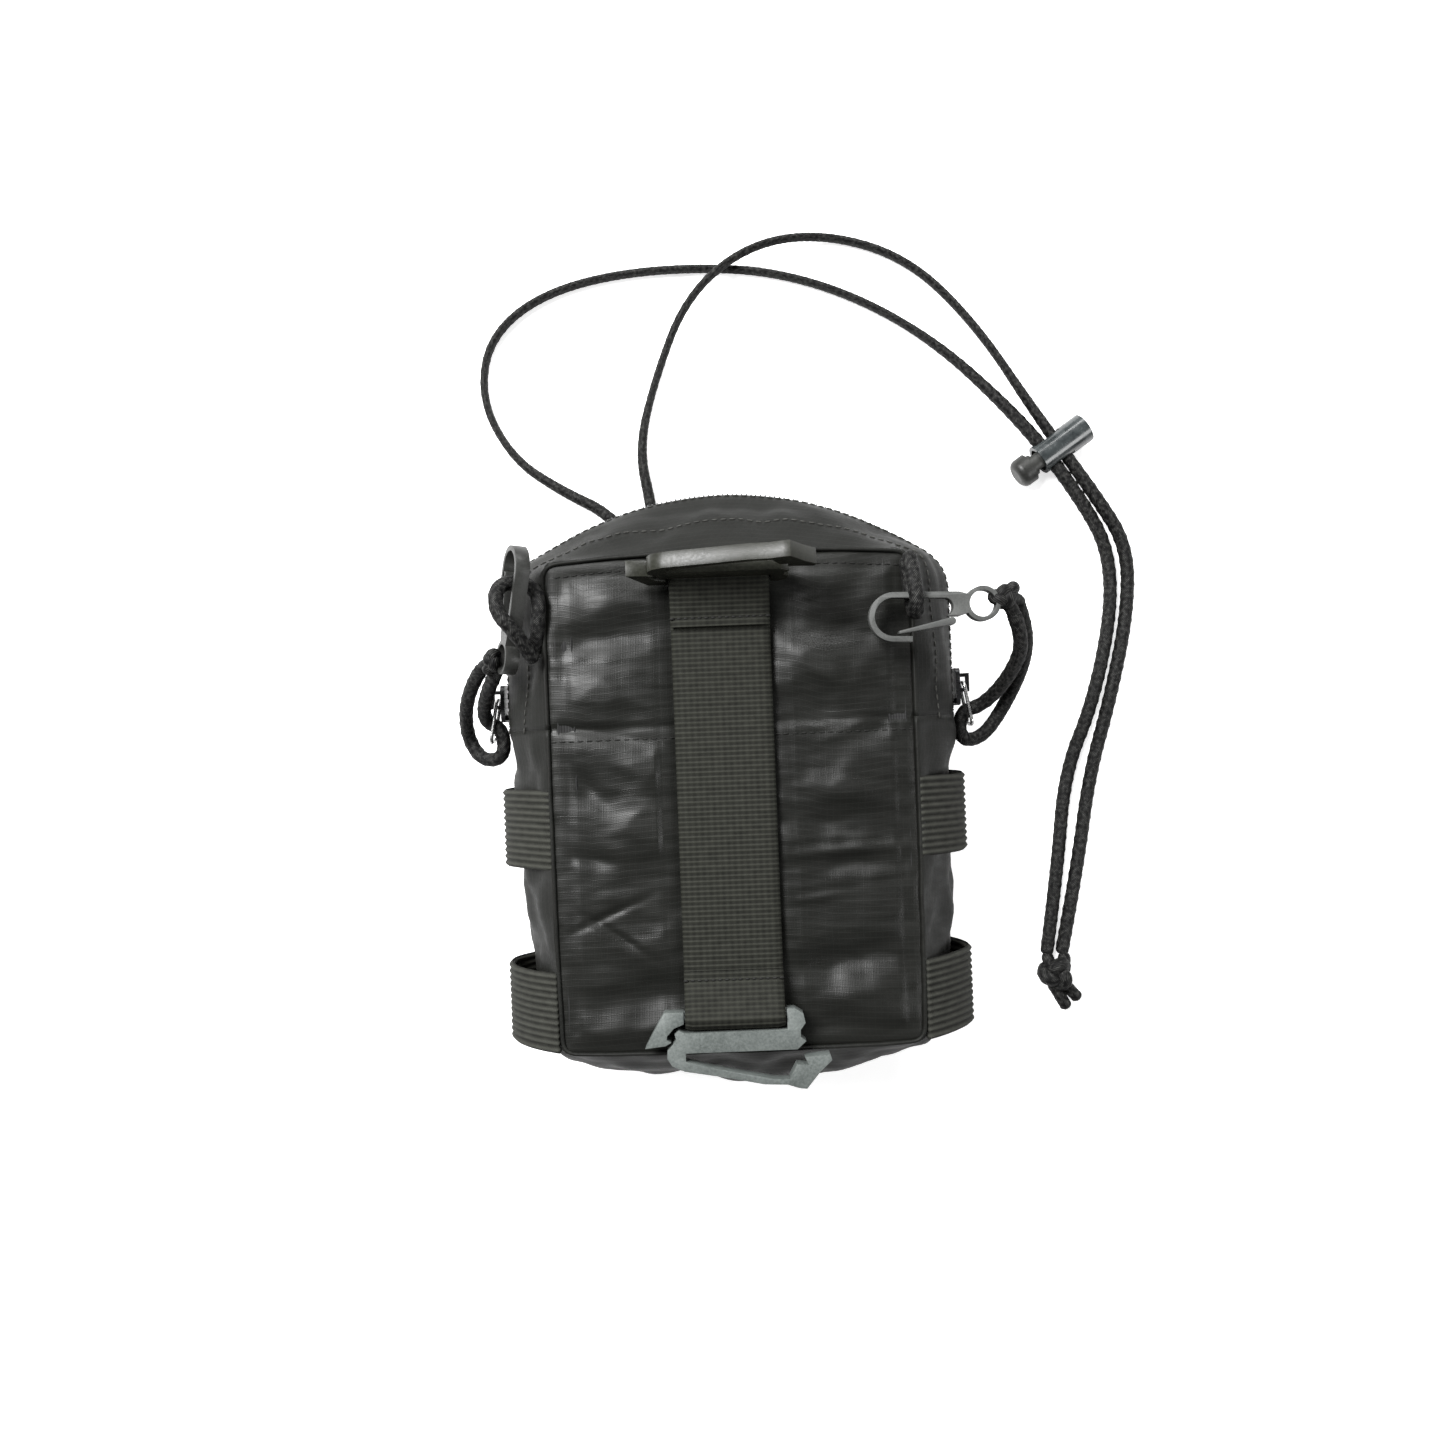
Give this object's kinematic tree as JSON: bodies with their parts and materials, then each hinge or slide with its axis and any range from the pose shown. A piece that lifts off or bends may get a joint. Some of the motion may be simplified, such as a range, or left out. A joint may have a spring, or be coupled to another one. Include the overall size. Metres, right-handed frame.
{
  "type": "zipped utility pouch",
  "caption": "Small zipped ripstop pouch with a webbing back strap, two strap hooks, elastic side loops, clips on cord loops and a corded leash with a cord lock",
  "frame": {"origin": "middle of the front panel's outer face, on which the pouch lies", "axes": "+Z out of the back panel, +Y towards the top end and the zip's arch, +X to the right as the back panel is looked at with its top end up"},
  "size_m": [0.1917, 0.2367, 0.0681],
  "materials": {
    "ripstop": "coated ripstop nylon, slight sheen",
    "binding": "woven tape",
    "zip_tape": "woven tape",
    "zip_teeth": "coil",
    "webbing": "woven nylon webbing",
    "elastic": "ribbed elastic",
    "cord": "braided cord",
    "clip_plastic": "matt moulded",
    "hook_plastic": "matt moulded, speckled",
    "slider_metal": "black coated zinc",
    "lock_plastic": "polished",
    "spring_steel": "bright"
  },
  "bodies": {
    "pouch": {"front_panel": "ripstop", "seam_binding_front": "binding", "bottom_gusset": "ripstop", "side_gusset_left": "ripstop", "side_gusset_right": "ripstop", "back_panel_lower": "ripstop", "seam_binding_back_lower": "binding", "back_fold": "ripstop", "zip_gusset_front": "ripstop", "zip_tape_front": "zip_tape", "zip_teeth_front": "zip_teeth", "strap_lower": "webbing", "strap_fold": "webbing", "elastic_loop_upper_left": "elastic", "elastic_loop_upper_right": "elastic", "elastic_loop_lower_left": "elastic", "elastic_loop_lower_right": "elastic", "leash_tab": "webbing", "leash_strand_left": "cord", "leash_strand_right": "cord", "leash_knot": "cord"},
    "flap": {"back_panel_upper": "ripstop", "seam_binding_back_upper": "binding", "zip_gusset_back": "ripstop", "zip_tape_back": "zip_tape", "zip_teeth_back": "zip_teeth", "strap_upper": "webbing", "corner_loop_left": "cord", "corner_loop_right": "cord", "clip_left": "clip_plastic", "clip_right": "clip_plastic", "pull_knot_left": "cord", "pull_knot_right": "cord", "pull_cord_left": "cord", "pull_cord_right": "cord"},
    "slider_left": {"slider_left": "slider_metal"},
    "slider_right": {"slider_right": "slider_metal"},
    "pull_left": {"slider_pull_left": "slider_metal"},
    "pull_right": {"slider_pull_right": "slider_metal"},
    "hook_bottom": {"hook_bottom": "hook_plastic"},
    "hook_top": {"hook_top": "hook_plastic"},
    "gate_left": {"clip_gate_left": "clip_plastic"},
    "gate_right": {"clip_gate_right": "clip_plastic"},
    "lock_barrel": {"lock_barrel": "lock_plastic", "lock_spring": "spring_steel"},
    "lock_plunger": {"lock_plunger": "lock_plastic"}
  },
  "joints": [
    {"name": "mouth_open", "type": "hinge", "parent": "pouch", "child": "flap", "pos_m": [0, 0.0202, 0.023], "axis": [1, 0, 0], "range_deg": [0, 30], "deforming": ["back_fold", "strap_fold"]},
    {"name": "slider_left_run", "type": "slide", "parent": "flap", "child": "slider_left", "axis": [0, 1, 0], "range_m": [0, 0.012], "deforming": ["pull_cord_left"]},
    {"name": "slider_right_run", "type": "slide", "parent": "flap", "child": "slider_right", "axis": [0, 1, 0], "range_m": [0, 0.012], "deforming": ["pull_cord_right"]},
    {"name": "pull_left_swing", "type": "hinge", "parent": "slider_left", "child": "pull_left", "pos_m": [-0.0628, 0.0286, 0.023], "axis": [0, 0, -1], "range_deg": [-6, 20]},
    {"name": "pull_right_swing", "type": "hinge", "parent": "slider_right", "child": "pull_right", "pos_m": [0.0628, 0.0286, 0.023], "axis": [0, 0, 1], "range_deg": [-6, 20]},
    {"name": "hook_bottom_turn", "type": "hinge", "parent": "pouch", "child": "hook_bottom", "pos_m": [-0.002, -0.053, 0.04945], "axis": [-1, 0, 0], "range_deg": [0, 120]},
    {"name": "hook_top_turn", "type": "hinge", "parent": "flap", "child": "hook_top", "pos_m": [-0.002, 0.0575, 0.04945], "axis": [1, 0, 0], "range_deg": [-78, 38]},
    {"name": "gate_left_open", "type": "hinge", "parent": "flap", "child": "gate_left", "pos_m": [-0.05638, 0.04741, 0.04283], "axis": [0.8928, -0.0731, -0.4446], "range_deg": [0, 8], "stiffness_Nm_per_rad": 0.02},
    {"name": "gate_right_open", "type": "hinge", "parent": "flap", "child": "gate_right", "pos_m": [0.05524, 0.04315, 0.0522], "axis": [0, 0, -1], "range_deg": [0, 8], "stiffness_Nm_per_rad": 0.02},
    {"name": "lock_slide", "type": "slide", "parent": "pouch", "child": "lock_barrel", "axis": [0.5592, -0.829, 0], "range_m": [-0.0015, 0.009]},
    {"name": "lock_press", "type": "slide", "parent": "lock_barrel", "child": "lock_plunger", "axis": [0.829, 0.5592, 0], "range_m": [0, 0.003], "stiffness_N_per_m": 600, "springref_m": -0.001, "deforming": ["lock_spring"]}
  ]
}
